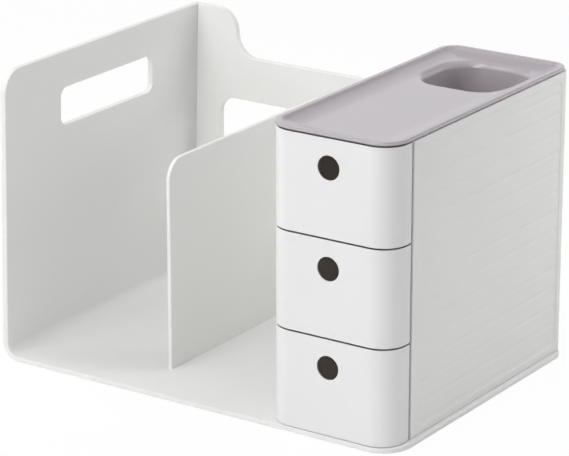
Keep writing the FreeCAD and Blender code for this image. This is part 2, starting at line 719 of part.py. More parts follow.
def make_top_tray():
    """Tray that covers the cabinet: raised rim, dished floor and a pen cup that the floor rolls into."""
    body = new_body("top_tray")
    rim = new_sketch(body, "rim_plan", "XY_Plane", RIM_LOW)
    add_tray_outline(rim, "0")
    pad(body, rim, "rim_thick")
    z_low, z_top = worth(RIM_LOW), worth(RIM_TOP)
    dress(body, "Fillet", "rim_soft", lambda edge: lies_at(edge, z=z_low) or lies_at(edge, z=z_top))
    neck = new_sketch(body, "neck_plan", "XY_Plane", "wall_top")
    add_tray_outline(neck, "(rim_overhang + neck_inset)", f"{WALL_FRONT} + seat_play")
    pad(body, neck, "rim_under")
    pan = new_sketch(body, "pan_plan", "XY_Plane", PAN_LOW)
    pan_corner = "front_corner - outer_thick - pan_play"
    add_outline(pan, [
        (f"{BAY_LEFT} + pan_play", f"{BOX_FRONT} + pan_play", pan_corner),
        (f"{BAY_RIGHT} - pan_play", f"{BOX_FRONT} + pan_play", pan_corner),
        (f"{BAY_RIGHT} - pan_play", f"{REAR} - rear_thick - pan_play", "rear_corner - outer_thick"),
        (f"{BAY_LEFT} + pan_play", f"{REAR} - rear_thick - pan_play", "rear_corner - outer_thick"),
    ])
    pad(body, pan, f"{RIM_LOW} - {PAN_LOW}")
    rib = new_sketch(body, "stop_rib", "XY_Plane", PAN_LOW)
    add_box_outline(
        rib, f"{BAY_LEFT} + pan_play", f"{BAY_RIGHT} - pan_play", f"{STOP_REAR} - stop_thick", STOP_REAR,
    )
    pad(body, rib, f"{PAN_LOW} - {STOP_LOW} - 2 * drawer_spacing", reverse=True)
    sink_dish(body)
    sink_cup(body)
    return body


def sink_dish(body):
    """Lower the tray's floor inside the rim, with a soft slope all round."""
    floor_ring = new_sketch(body, "dish_floor", "XY_Plane", TRAY_FLOOR)
    add_tray_outline(floor_ring, "(rim_wide + dish_slope)", rear_radius="dish_rear_corner")
    rim_ring = new_sketch(body, "dish_top", "XY_Plane", RIM_TOP)
    add_tray_outline(rim_ring, "rim_wide")
    before = body.Tip.Shape.Volume
    dish = body.newObject("PartDesign::SubtractiveLoft", "dish")
    dish.Profile = floor_ring
    dish.Sections = [rim_ring]
    dish.Ruled = True
    doc.recompute()
    if dish.Shape.Volume > before - CLOSE:
        raise ValueError("the dish takes nothing away")
    z_floor = worth(TRAY_FLOOR)
    dress(body, "Fillet", "dish_round", lambda edge: lies_at(edge, z=z_floor))


def sink_cup(body):
    """Hang the pen cup from the tray's floor and roll the floor into it."""
    shell = new_sketch(body, "cup_shell", "XY_Plane", PAN_LOW)
    add_cup_outline(shell, "cup_wall")
    pad(body, shell, "cup_deep + cup_base - pan_thick", reverse=True)
    hollow = new_sketch(body, "cup_hollow", "XY_Plane", TRAY_FLOOR)
    add_cup_outline(hollow)
    pocket(body, hollow, "cup_deep")
    z_base = worth(f"{TRAY_FLOOR} - cup_deep")
    z_foot = worth(f"{TRAY_FLOOR} - cup_deep - cup_base")
    z_under, z_floor = worth(PAN_LOW), worth(TRAY_FLOOR)
    low = [worth(f"{CUP_X} - cup_wide / 2 - cup_wall"), worth(f"{CUP_Y} - cup_long / 2 - cup_wall")]
    high = [worth(f"{CUP_X} + cup_wide / 2 + cup_wall"), worth(f"{CUP_Y} + cup_long / 2 + cup_wall")]

    def round_at(height):
        return lambda edge: lies_at(edge, z=height) and in_box(edge, low + [height], high + [height])

    dress(body, "Fillet", "cup_foot_round + cup_wall", round_at(z_foot))
    dress(body, "Fillet", "cup_foot_round", round_at(z_base))
    dress(body, "Fillet", "lip_radius - cup_wall", round_at(z_under))
    dress(body, "Fillet", "lip_radius", round_at(z_floor))


def make_rubber_feet():
    """Six rubber feet in the recesses under the floor."""
    feet = []
    for number, (across, along) in enumerate(foot_spots(), start=1):
        foot = doc.addObject("Part::Cylinder", f"foot_{number}")
        foot.setExpression("Radius", bound("foot_diameter / 2"))
        foot.setExpression("Height", bound("foot_stand + foot_recess"))
        foot.setExpression(".Placement.Base.x", bound(across))
        foot.setExpression(".Placement.Base.y", bound(along))
        feet.append(foot)
    group = doc.addObject("Part::Compound", "rubber_feet")
    group.Links = feet
    group.Label = "rubber_feet"
    return group


def main():
    pieces = [
        make_base_and_end(), make_back_panel(), make_divider(), make_inner_wall(), make_outer_wall(),
        make_rear_wall(), make_top_tray(), make_rubber_feet(),
    ]
    for level, name in enumerate(("lower", "upper")):
        pieces.append(make_shelf(f"{name}_shelf", level))
    for level, name in enumerate(("bottom", "middle", "top")):
        pieces.append(make_drawer_front(f"{name}_drawer_front", level))
        pieces.append(make_drawer_box(f"{name}_drawer_box", level))
    doc.recompute()
    for item in doc.Objects:
        if "Invalid" in item.State or "Error" in item.State:
            raise ValueError(f"{item.Name} did not compute")
    for piece in pieces:
        if piece.Shape.isNull() or not piece.Shape.isValid():
            raise ValueError(f"{piece.Label} is not a sound shape")
    os.makedirs("parts", exist_ok=True)
    for piece in pieces:
        piece.Shape.exportStep(os.path.join("parts", f"{piece.Label}.step"))
        box = piece.Shape.BoundBox
        extent = f"{box.XLength:.1f} x {box.YLength:.1f} x {box.ZLength:.1f} mm"
        print(f"{piece.Label}: {len(piece.Shape.Solids)} solid(s), {piece.Shape.Volume:.0f} mm3, {extent}")


main()
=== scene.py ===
# %% [markdown]
# # A desk organizer: book stand, drawer cabinet and pen tray
#
# The object is a set of thin plastic mouldings. A floor and one end are bent like a bookend.
# A rear panel and a divider make two bays for books. Beside them stands a narrow cabinet
# with three drawers, and a taupe tray with a pen cup covers the cabinet.
#
# Such mouldings are easy to recognise and hard to fake: every edge is a little round, every
# wall is thin, and light slides over large plain faces. So the work here goes into true
# surfaces with soft edges. The engineering frame gives the places and sizes of all pieces,
# and this script dresses it, piece by piece.

import math

import bmesh
import bpy
import numpy as np
from mathutils import Matrix, Vector


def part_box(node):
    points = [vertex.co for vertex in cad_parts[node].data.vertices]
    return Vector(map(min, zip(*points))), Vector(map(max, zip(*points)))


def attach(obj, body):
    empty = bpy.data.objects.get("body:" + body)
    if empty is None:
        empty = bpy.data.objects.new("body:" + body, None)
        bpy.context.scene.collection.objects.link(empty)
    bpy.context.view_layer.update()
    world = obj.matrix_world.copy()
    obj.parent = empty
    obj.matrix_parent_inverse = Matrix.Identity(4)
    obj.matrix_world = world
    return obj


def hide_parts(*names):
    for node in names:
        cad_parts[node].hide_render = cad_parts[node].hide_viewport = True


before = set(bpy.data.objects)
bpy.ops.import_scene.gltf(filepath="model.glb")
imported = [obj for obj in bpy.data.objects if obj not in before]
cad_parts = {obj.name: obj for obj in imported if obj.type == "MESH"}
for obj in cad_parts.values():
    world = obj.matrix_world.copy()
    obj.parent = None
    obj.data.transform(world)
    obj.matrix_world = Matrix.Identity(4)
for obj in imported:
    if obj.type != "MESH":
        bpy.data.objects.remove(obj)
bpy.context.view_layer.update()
MM = 0.001


# %% [markdown]
# ## Millimetres
#
# Blender works in metres, but a maker thinks about a drawer in millimetres. All formulas below
# do so too, and only the finished points are multiplied by MM.

# %% Boxes of the frame's nodes, in millimetres
def box_mm(node):
    """Lowest and highest corner of a node of the frame, in millimetres."""
    low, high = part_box(node)
    return np.array(low) / MM, np.array(high) / MM


# %% [markdown]
# ## From arrays to a mesh
#
# One could push and pull boxes by hand. Here each surface is an array instead: a row of points
# is a ring, and rings follow one another. Then a size is one number, and changing it changes
# the whole shape. One function makes the mesh, and turns its faces outwards if the enclosed
# volume is negative.

# %% Points and faces to a mesh object
def add_object(name, data):
    """A new object in the scene."""
    item = bpy.data.objects.new(name, data)
    bpy.context.scene.collection.objects.link(item)
    return item


def signed_volume(points, quads):
    """Sum of the small pyramids between the origin and each face: positive if faces look out."""
    a, b, c, d = (points[quads[:, k]] for k in range(4))
    first = np.einsum("ij,ij->i", a, np.cross(b, c))
    second = np.einsum("ij,ij->i", a, np.cross(c, d))
    return (first.sum() + second.sum()) / 6


def mesh_from(name, points, quads):
    """A smooth-shaded mesh object. A quad may repeat its last corner, and is then a triangle."""
    if signed_volume(points, quads) < 0:
        quads = quads[:, ::-1]
    faces = [tuple(dict.fromkeys(face)) for face in quads.tolist()]
    mesh = bpy.data.meshes.new(name)
    mesh.from_pydata(points * MM, [], faces)
    mesh.validate()
    mesh.shade_smooth()
    print(f"{name}: {len(points)} points, {len(faces)} faces")
    return add_object(name, mesh)


# %% Faces between neighbouring rings, and fans that close the first and the last ring
def ring_quads(rows, columns, first=0, wrap_rows=False):
    """Faces between neighbouring rings. Each ring closes on itself; the last may meet the first.

    Point (row, column) has the number row * columns + column, and a face joins it to the next
    column, the next row and column, and the next row.
    """
    last = rows if wrap_rows else rows - 1
    row = np.arange(last)[:, None]
    column = np.arange(columns)[None, :]
    after_row, after_column = (row + 1) % rows, (column + 1) % columns
    corners = [
        row * columns + column,
        row * columns + after_column,
        after_row * columns + after_column,
        after_row * columns + column,
    ]
    wide = [np.broadcast_to(corner, (last, columns)) for corner in corners]
    return first + np.stack(wide, -1).reshape(-1, 4)


def fan_quads(ring, pole):
    """Triangles, written as quads that repeat a corner, between a ring's points and a pole."""
    after = np.roll(ring, -1)
    poles = np.full(len(ring), pole)
    return np.stack([ring, after, poles, poles], -1)


# %% [markdown]
# ## The skin of moulded plastic
#
# Moulded plastic is never one flat colour. The steel mould is lightly blasted, so the skin has
# a fine grain, and the melt leaves faint clouds of tone and gloss. Hands polish the outer edges
# in patches, so they turn shinier and a touch lighter.
#
# This could be painted as an image, but an image has a limit of detail and needs unwrapping.
# Noise over the piece's own coordinates has neither. It is written once, as a node group that
# each finish uses with its own values.

# %% Helpers for nodes
def cleared_tree(owner):
    """The node tree of a new material or world, with nothing in it yet."""
    owner.use_nodes = True
    owner.node_tree.nodes.clear()
    return owner.node_tree


def add_node(tree, kind, **settings):
    """A new node with some of its settings."""
    node = tree.nodes.new(kind)
    for key, value in settings.items():
        setattr(node, key, value)
    return node


def fill(node, **values):
    """Values for a node's inputs. The words of an input's name are joined by _."""
    for words, value in values.items():
        node.inputs[words.replace("_", " ")].default_value = value


def connect(tree, *links):
    """Links, each written as (from node, its output, to node, its input)."""
    for source, output, target, entry in links:
        tree.links.new(source.outputs[output], target.inputs[entry])


# %% The node group for a moulded skin
RIDGE_START, RIDGE_FULL = 0.51, 0.60
SCUFF_SCALE = 160.0
EDGE_POLISH = 0.45
SKIN_INPUTS = {
    "Light Tone": "NodeSocketColor", "Dark Tone": "NodeSocketColor",
    "Cloud Scale": "NodeSocketFloat", "Grain Scale": "NodeSocketFloat",
    "Least Roughness": "NodeSocketFloat", "Most Roughness": "NodeSocketFloat",
}
SKIN_OUTPUTS = {
    "Colour": "NodeSocketColor", "Roughness": "NodeSocketFloat", "Height": "NodeSocketFloat",
}


def moulded_skin_group():
    """Clouds of tone and gloss from a wide noise, a grain height from a fine one, rubbed edges.

    An edge is rubbed by (how ridged the surface is there) times a patchy noise. There the
    colour moves to the light tone and the roughness is multiplied by 1 - polish times that.
    """
    group = bpy.data.node_groups.new("moulded_skin", "ShaderNodeTree")
    for sockets, side in ((SKIN_INPUTS, "INPUT"), (SKIN_OUTPUTS, "OUTPUT")):
        for name, kind in sockets.items():
            group.interface.new_socket(name, in_out=side, socket_type=kind)
    entry, leave = add_node(group, "NodeGroupInput"), add_node(group, "NodeGroupOutput")
    place, shape = add_node(group, "ShaderNodeTexCoord"), add_node(group, "ShaderNodeNewGeometry")
    clouds, grain, scuffs = (add_node(group, "ShaderNodeTexNoise") for _ in range(3))
    for noise, detail in ((clouds, 3), (grain, 2), (scuffs, 4)):
        fill(noise, Detail=detail)
        connect(group, (place, "Object", noise, "Vector"))
    fill(scuffs, Scale=SCUFF_SCALE)
    gloss, ridge = add_node(group, "ShaderNodeMapRange"), add_node(group, "ShaderNodeMapRange")
    fill(ridge, From_Min=RIDGE_START, From_Max=RIDGE_FULL)
    tone = add_node(group, "ShaderNodeMix", data_type="RGBA")
    worn_tone = add_node(group, "ShaderNodeMix", data_type="RGBA")
    rubbed = add_node(group, "ShaderNodeMath", operation="MULTIPLY")
    polish = add_node(group, "ShaderNodeMath", operation="MULTIPLY_ADD")
    polish.inputs[1].default_value = -EDGE_POLISH
    polish.inputs[2].default_value = 1.0
    worn_gloss = add_node(group, "ShaderNodeMath", operation="MULTIPLY")
    connect(
        group,
        (entry, "Cloud Scale", clouds, "Scale"), (entry, "Grain Scale", grain, "Scale"),
        (clouds, "Fac", tone, "Factor"), (clouds, "Fac", gloss, "Value"),
        (entry, "Light Tone", tone, "A"), (entry, "Dark Tone", tone, "B"),
        (entry, "Least Roughness", gloss, "To Min"), (entry, "Most Roughness", gloss, "To Max"),
        (shape, "Pointiness", ridge, "Value"),
        (ridge, "Result", rubbed, 0), (scuffs, "Fac", rubbed, 1),
        (rubbed, 0, worn_tone, "Factor"), (rubbed, 0, polish, 0),
        (tone, "Result", worn_tone, "A"), (entry, "Light Tone", worn_tone, "B"),
        (gloss, "Result", worn_gloss, 0), (polish, 0, worn_gloss, 1),
        (worn_tone, "Result", leave, "Colour"), (worn_gloss, 0, leave, "Roughness"),
        (grain, "Fac", leave, "Height"),
    )
    return group


MOULDED_SKIN = moulded_skin_group()
print("moulded skin:", len(MOULDED_SKIN.nodes), "nodes")


# %% [markdown]
# ## Six finishes
#
# A finish is that group in front of a Principled shader. Colours are written as they look on
# screen, from 0 to 255, and converted to the linear values that shaders expect. The whites differ a
# little. The drawers' white is a shade darker, which is painted shade that tones down the fronts
# where the front lamps light them strongly. The shell's white is a shade lighter, which is painted
# light on the end panel's inner face that lies in shade. Roughness tells satin shell, smoother
# drawers, glossy tray and dull rubber feet apart.

# %% Colours and finishes
CLOUD_SCALE = 18.0


def linear(screen_colour):
    """Screen colour, 0 to 255, to linear light: the usual curve with a power of 2.4."""
    c = np.array(screen_colour) / 255
    light = np.where(c <= 0.04045, c / 12.92, ((c + 0.055) / 1.055) ** 2.4)
    return (*light.tolist(), 1.0)


def moulded_finish(name, light_tone, dark_tone, roughness, grain_size, grain_depth):
    """A plastic or rubber finish. Sizes are in millimetres, roughness is (least, most)."""
    material = bpy.data.materials.new(name)
    tree = cleared_tree(material)
    skin = add_node(tree, "ShaderNodeGroup", node_tree=MOULDED_SKIN)
    fill(skin, Light_Tone=linear(light_tone), Dark_Tone=linear(dark_tone))
    fill(skin, Cloud_Scale=CLOUD_SCALE, Grain_Scale=1 / (grain_size * MM))
    fill(skin, Least_Roughness=roughness[0], Most_Roughness=roughness[1])
    bump = add_node(tree, "ShaderNodeBump")
    fill(bump, Strength=1.0, Distance=grain_depth * MM)
    shader = add_node(tree, "ShaderNodeBsdfPrincipled")
    out = add_node(tree, "ShaderNodeOutputMaterial")
    connect(
        tree,
        (skin, "Colour", shader, "Base Color"), (skin, "Roughness", shader, "Roughness"),
        (skin, "Height", bump, "Height"), (bump, "Normal", shader, "Normal"),
        (shader, "BSDF", out, "Surface"),
    )
    return material


FINISHES = {
    name: moulded_finish(name, *values)
    for name, values in {
        # The shell's white is a shade lighter: painted light for the end panel's shaded inner face.
        "white_shell": ((236, 236, 235), (232, 232, 231), (0.42, 0.52), 0.9, 0.006),
        "white_panel": ((237, 237, 235), (234, 234, 232), (0.42, 0.52), 0.9, 0.006),
        # The drawers' white is a shade darker: painted shade for the strongly lit fronts.
        "white_drawer": ((231, 231, 231), (227, 227, 227), (0.36, 0.44), 0.9, 0.004),
        "drawer_box": ((232, 231, 229), (229, 228, 226), (0.42, 0.50), 0.9, 0.005),
        "taupe_tray": ((184, 177, 181), (179, 172, 176), (0.14, 0.19), 0.9, 0.001),
        "grey_rubber": ((98, 98, 100), (90, 90, 92), (0.78, 0.86), 1.2, 0.02),
    }.items()
}
print("finishes:", ", ".join(FINISHES))


# %% [markdown]
# Two finishes have something more. The tray is coated: a thin clear layer gives soft highlights on
# the cup's lip, and a sheen shows where one looks along the surface; the sheen's bluish tint is a
# painted reflection of cool light. The drawer boxes glow a faint warm colour. This is painted light
# that stands in for light coming through their thin walls, so a finger hole is brown and not black.
# Both are the same all over the piece, so they are set on the shader's own sockets.

# %% The tray's coat and painted bluish sheen, and the boxes' painted warm glow
def shader_of(finish):
    """The Principled shader of a finish."""
    return FINISHES[finish].node_tree.nodes["Principled BSDF"]


fill(shader_of("taupe_tray"), IOR=1.6, Coat_Weight=0.4, Coat_Roughness=0.25)
# The sheen's bluish tint is a painted reflection of cool light.
fill(shader_of("taupe_tray"), Sheen_Weight=0.2, Sheen_Roughness=0.35)
fill(shader_of("taupe_tray"), Sheen_Tint=(0.55, 0.66, 1.0, 1.0))
# Painted light: a faint warm glow that stands in for light coming through the boxes' thin walls.
fill(shader_of("drawer_box"), Emission_Color=(1.0, 0.84, 0.72, 1.0), Emission_Strength=0.012)


def dress(piece, finish, body, *nodes):
    """Give a piece its finish, let it ride on a body and stand for nodes."""
    piece.data.materials.clear()
    piece.data.materials.append(FINISHES[finish])
    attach(piece, body)
    if nodes:
        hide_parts(*nodes)
    return piece


# %% [markdown]
# ## The tray and its pen cup
#
# The tray is one moulding: a raised rim, a soft slope down to a flat floor, and a cup that the
# floor rolls into. It could be boxes and holes with bevels, but a real mould has no such seams.
# So it is one closed skin of rings. They start at a point on the cup's floor, climb the wall,
# roll over the lip, cross the tray, climb the rim, turn round it, and come back underneath to
# a point below the cup.
#
# Two kinds of ring do all this. The rim's ring is a rectangle with round corners, whose points
# lie closer together in the corners. The cup's ring is seen from its centre, in the directions
# of the rim's points, so that each point of the cup has its partner on the rim.

# %% A ring with round corners
CORNER_POINTS, LONG_POINTS, SHORT_POINTS = 26, 104, 48
QUARTER_TURNS = np.arange(4)[:, None] * math.pi / 2


def spread(start, end, count):
    """Points between two points, without the two themselves."""
    share = np.linspace(0, 1, count + 2)[1:-1, None]
    return start + (end - start) * share


def box_ring(low, high, front_radius, rear_radius, z):
    """A rectangle's outline with round corners, at height z.

    A corner is its centre plus the radius times (cos a, sin a) over a quarter turn,
    and a side is a straight run between two corners.
    """
    radii = np.array([front_radius, rear_radius, rear_radius, front_radius])
    centres = np.array([
        [high[0] - front_radius, low[1] + front_radius],
        [high[0] - rear_radius, high[1] - rear_radius],
        [low[0] + rear_radius, high[1] - rear_radius],
        [low[0] + front_radius, low[1] + front_radius],
    ])
    turns = np.linspace(-math.pi / 2, 0, CORNER_POINTS)[None, :] + QUARTER_TURNS
    circle = np.stack([np.cos(turns), np.sin(turns)], -1)
    corners = centres[:, None, :] + radii[:, None, None] * circle
    parts = []
    for k, count in enumerate((LONG_POINTS, SHORT_POINTS, LONG_POINTS, SHORT_POINTS)):
        parts += [corners[k], spread(corners[k, -1], corners[(k + 1) % 4, 0], count)]
    flat = np.concatenate(parts)
    return np.column_stack([flat, np.full(len(flat), z)])


# %% The same ring, seen from its centre
def sight_ring(centre, half, radius, directions, z):
    """An outline with its points where given directions from its centre meet it.

    A direction meets a side at the nearer of half/|d| along x and y. If that point is past the
    start of a corner, it meets the corner's circle instead, by the formula for a line and a
    circle.
    """
    aim = np.abs(directions)
    reach = (half / np.maximum(aim, 1e-9)).min(axis=1)
    knee = half - radius
    along = aim @ knee
    under_root = np.maximum(along**2 - (knee @ knee - radius**2), 0)
    in_corner = np.all(aim * reach[:, None] > knee, axis=1)
    reach = np.where(in_corner, along + np.sqrt(under_root), reach)
    flat = centre + directions * reach[:, None]
    return np.column_stack([flat, np.full(len(flat), z)])


# %% Arcs and ramps between rings
def quarter(steps, start=0.0, end=90.0):
    """Sines and cosines of angles between two limits in degrees."""
    angles = np.radians(np.linspace(start, end, steps))
    return np.sin(angles), np.cos(angles)


def ramp(first, last, steps):
    """Rings between two rings, the last one included: first + share * (last - first)."""
    return [first + (last - first) * share for share in np.linspace(0, 1, steps + 1)[1:]]


# %% [markdown]
# The dish has to look soft from the front, where its near flank faces away and its far flank
# faces the eye. A plain chamfer gives one hard band. Two curves added together give the real
# shape: a wide gentle flank, and a short steep edge just below the rim.

# %% Sizes of the rim and the dish
TRAY_LOW, TRAY_HIGH = box_mm("top_tray")
RIM_TOP = TRAY_HIGH[2]
RIM_THICK, RIM_WIDE = 2.2, 4.8
RIM_INNER_ROUND, RIM_OUTER_ROUND, RIM_UNDER_ROUND = 2.0, 1.0, 0.5
RIM_CORNERS = (18.0, 13.0)
FLANK_WIDE, FLANK_TALL, FLANK_POWER = 15.0, 2.4, 1.5
EDGE_TALL, EDGE_REACH = 0.7, 0.6
FLANK_TURN = math.atan(FLANK_POWER * FLANK_TALL / FLANK_WIDE + EDGE_TALL / EDGE_REACH)
FLANK_TOP = RIM_WIDE - RIM_INNER_ROUND * math.sin(FLANK_TURN)
TRAY_FLOOR = RIM_TOP - RIM_INNER_ROUND * (1 - math.cos(FLANK_TURN)) - FLANK_TALL - EDGE_TALL
print(f"the flank leaves the rim at {math.degrees(FLANK_TURN):.0f} degrees")
print(f"the dish is {RIM_TOP - TRAY_FLOOR:.2f} mm deep")


# %% How high the dish lies
def inside_outline(flat):
    """Distance inwards from the rim's outline, whose front corners are rounder than its rear ones.

    With q = |offset| - half size + corner radius, it is the radius less the length of the part
    of q that is positive, and less the larger part of q where both are negative.
    """
    middle = (TRAY_LOW[:2] + TRAY_HIGH[:2]) / 2
    half = (TRAY_HIGH[:2] - TRAY_LOW[:2]) / 2
    offset = flat - middle
    radius = np.where(offset[..., 1] < 0, *RIM_CORNERS)
    q = np.abs(offset) - half + radius[..., None]
    return radius - np.linalg.norm(np.maximum(q, 0), axis=-1) - np.minimum(q.max(axis=-1), 0)


def dish_height(flat):
    """Floor height, plus a wide gentle flank and a short steep edge below the rim.

    The flank is its full height times (share of the way up from its foot)^power. The edge is
    its full height times e^(-distance from the rim / reach).
    """
    from_rim = np.maximum(inside_outline(flat) - RIM_WIDE, 0)
    flank = FLANK_TALL * np.clip(1 - from_rim / FLANK_WIDE, 0, 1) ** FLANK_POWER
    return TRAY_FLOOR + flank + EDGE_TALL * np.exp(-from_rim / EDGE_REACH)


# %% [markdown]
# The rim is a flat band with three round edges. Its inner edge starts at the angle at which the
# flank arrives, so that the skin runs on without a crease. Its outer edge is what one sees
# first: too sharp, and the tray looks like sheet metal.

# %% Rings of the rim
def rim_ring(inset, z):
    """The rim's outline, drawn in by an inset."""
    corners = (RIM_CORNERS[0] - inset, RIM_CORNERS[1] - inset)
    return box_ring(TRAY_LOW[:2] + inset, TRAY_HIGH[:2] - inset, *corners, z)


def rim_rings():
    """From the flank's top outwards: round inner edge, flat top, outer edge and lower edge.

    Each edge is part of a circle: radius times sin a to the side, radius times 1 - cos a down.
    """
    sines, cosines = quarter(8, math.degrees(FLANK_TURN), 0)
    rings = [
        rim_ring(FLANK_TOP + RIM_INNER_ROUND * s, RIM_TOP - RIM_INNER_ROUND * (1 - c))
        for s, c in zip(sines, cosines)
    ]
    sines, cosines = quarter(9)
    rings += [
        rim_ring(RIM_OUTER_ROUND * (1 - s), RIM_TOP - RIM_OUTER_ROUND * (1 - c))
        for s, c in zip(sines, cosines)
    ]
    low = RIM_TOP - RIM_THICK + RIM_UNDER_ROUND
    rings += [
        rim_ring(RIM_UNDER_ROUND * (1 - c), low - RIM_UNDER_ROUND * s)
        for s, c in zip(sines, cosines)
    ]
    return rings


# %% [markdown]
# The cup holds pens, so it is deep, with a foot round enough to wipe clean. Its lip is a wide
# quarter circle: that is where a light draws one long highlight. Where the lip comes close to
# the rim it rises with the flank.

# %% Rings of the cup's inside and of the dish
CUP_CENTRE = np.array([110.6, 62.75])
CUP_HALF = np.array([31.0, 30.75])
CUP_CORNER = 20.0
CUP_FLOOR, CUP_FOOT, CUP_LIP = 110.0, 5.0, 4.5
POLE_SHARES = (0.15, 0.4, 0.7)


def cup_ring(grow, z, directions):
    """The cup's outline, wider by an amount on all sides."""
    return sight_ring(CUP_CENTRE, CUP_HALF + grow, CUP_CORNER + grow, directions, z)


def cup_rings(directions):
    """From the middle of the cup's floor outwards, round its foot, and up to the lip.

    The foot is a quarter circle: radius times 1 - sin a inwards and radius times 1 - cos a up.
    """
    sines, cosines = quarter(11)
    foot = [
        cup_ring(-CUP_FOOT * (1 - s), CUP_FLOOR + CUP_FOOT * (1 - c), directions)
        for s, c in zip(sines, cosines)
    ]
    middle = np.array([*CUP_CENTRE, CUP_FLOOR])
    rings = [middle + (foot[0] - middle) * share for share in POLE_SHARES] + foot
    return rings + ramp(foot[-1], cup_ring(0, TRAY_FLOOR - CUP_LIP, directions), 10)


def lip_rings(directions):
    """A quarter circle from the cup's wall to the dish, raised where the flank reaches the lip."""
    rings = []
    sines, cosines = quarter(19)
    for s, c in zip(sines[1:], cosines[1:]):
        ring = cup_ring(CUP_LIP * (1 - c), TRAY_FLOOR - CUP_LIP * (1 - s), directions)
        ring[:, 2] += (dish_height(ring[:, :2]) - TRAY_FLOOR) * s
        rings.append(ring)
    return rings


def dish_rings(lip, edge):
    """Straight runs in plan from the lip to the flank's top, at the dish's height.

    They lie closer together over the last tenth of the way, where the steep edge is.
    """
    shares = np.concatenate([np.linspace(0, 0.9, 22)[1:], np.linspace(0.9, 1, 30)[1:-1]])
    rings = []
    for share in shares:
        ring = lip + (edge - lip) * share
        ring[:, 2] = dish_height(ring[:, :2])
        rings.append(ring)
    return rings


# %% [markdown]
# Underneath, a neck fits over the cabinet's walls and a shallow pan drops between them. That
# keeps the tray in place without a screw. The cup's outside follows its inside at an even
# wall, as a moulding has to, because a thick spot would sink in as it cools.

# %% Sizes of the cabinet that the tray fits
WALL_LOW, WALL_HIGH = box_mm("cabinet_outer_wall")
OUTER_THICK, REAR_THICK, FRONT_THICK = 3.0, 2.6, 1.8
BAY_LEFT = box_mm("cabinet_inner_wall")[1][0]
BAY_RIGHT = WALL_HIGH[0] - OUTER_THICK
FRONT_INSIDE = box_mm("top_drawer_front")[0][1] + FRONT_THICK
print(f"the drawers' bay is {BAY_RIGHT - BAY_LEFT:.1f} mm wide")

# %% Rings of the tray's underside
PAN_THICK, PAN_PLAY, PAN_CORNERS = 1.7, 0.6, (13.9, 5.0)
PAN_LOW = TRAY_FLOOR - PAN_THICK
NECK_INSET, NECK_GAP = 1.9, 0.15
CUP_WALL, CUP_BASE = 1.8, 2.2


def neck_and_pan_rings():
    """Straight down from the rim to the walls, inwards to the pan, and down its side."""
    low, high = TRAY_LOW[:2] + NECK_INSET, TRAY_HIGH[:2] - NECK_INSET
    low[1] = FRONT_INSIDE + PAN_PLAY / 2
    corners = (RIM_CORNERS[0] - NECK_INSET, RIM_CORNERS[1] - NECK_INSET)
    neck_low = WALL_HIGH[2] + NECK_GAP
    rings = [box_ring(low, high, *corners, z) for z in (RIM_TOP - RIM_THICK, neck_low)]
    low = np.array([BAY_LEFT + PAN_PLAY, FRONT_INSIDE + PAN_PLAY])
    high = np.array([BAY_RIGHT - PAN_PLAY, TRAY_HIGH[1] - REAR_THICK - PAN_PLAY])
    return rings + [box_ring(low, high, *PAN_CORNERS, z) for z in (neck_low, PAN_LOW)]


def under_rings(pan_edge, directions):
    """From the pan's edge to the cup, round its lip from below, down its side and to its middle.

    Both rounds are the inside's quarter circles, drawn one wall away from them.
    """
    sines, cosines = quarter(11)
    sines, cosines = sines[1:], cosines[1:]
    lip = CUP_LIP - CUP_WALL
    rings = ramp(pan_edge, cup_ring(CUP_LIP, PAN_LOW, directions), 8)
    rings += [
        cup_ring(CUP_LIP - lip * s, PAN_LOW - lip * (1 - c), directions)
        for s, c in zip(sines, cosines)
    ]
    foot, foot_low = CUP_FOOT + CUP_WALL, CUP_FLOOR - CUP_BASE
    rings += ramp(rings[-1], cup_ring(CUP_WALL, foot_low + foot, directions), 8)
    rings += [
        cup_ring(CUP_WALL - foot * (1 - c), foot_low + foot * (1 - s), directions)
        for s, c in zip(sines, cosines)
    ]
    middle = np.array([*CUP_CENTRE, foot_low])
    return rings + [middle + (rings[-1] - middle) * share for share in POLE_SHARES[::-1]]


# %% The whole tray
outer = rim_rings()
towards_rim = outer[0][:, :2] - CUP_CENTRE
directions = towards_rim / np.linalg.norm(towards_rim, axis=1)[:, None]
rings = cup_rings(directions) + lip_rings(directions)
rings += dish_rings(rings[-1], outer[0]) + outer + neck_and_pan_rings()
rings += under_rings(rings[-1], directions)
rings = np.array(rings)
poles = [[*CUP_CENTRE, CUP_FLOOR], [*CUP_CENTRE, CUP_FLOOR - CUP_BASE]]

ring_count, ring_points = rings.shape[:2]
points = np.concatenate([rings.reshape(-1, 3), poles])
first_ring = np.arange(ring_points)
last_ring = first_ring + (ring_count - 1) * ring_points
quads = np.concatenate([
    ring_quads(ring_count, ring_points),
    fan_quads(first_ring[::-1], len(points) - 2),
    fan_quads(last_ring, len(points) - 1),
])
dress(mesh_from("pen_tray", points, quads), "taupe_tray", "stand", "top_tray")


# %% [markdown]
# Under the tray hangs a thin rib that stops the top drawer before it falls out. A block with
# a bevel is enough, because it is never seen from the outside.

# %% The stop rib
RIB_REAR, RIB_THICK, RIB_LOW, RIB_SOFT = -81.1, 2.0, 200.7, 0.3


def soft_block(name, low, high, soft):
    """Eight corners, six faces and a bevel."""
    spans = [(low[axis], high[axis]) for axis in range(3)]
    corners = np.array([[x, y, z] for x in spans[0] for y in spans[1] for z in spans[2]])
    faces = np.array([
        [0, 1, 3, 2], [4, 6, 7, 5], [0, 4, 5, 1], [2, 3, 7, 6], [0, 2, 6, 4], [1, 5, 7, 3],
    ])
    piece = mesh_from(name, corners, faces)
    piece.data.shade_flat()
    bevel = piece.modifiers.new("soft", "BEVEL")
    bevel.width = soft * MM
    bevel.segments = 2
    return piece


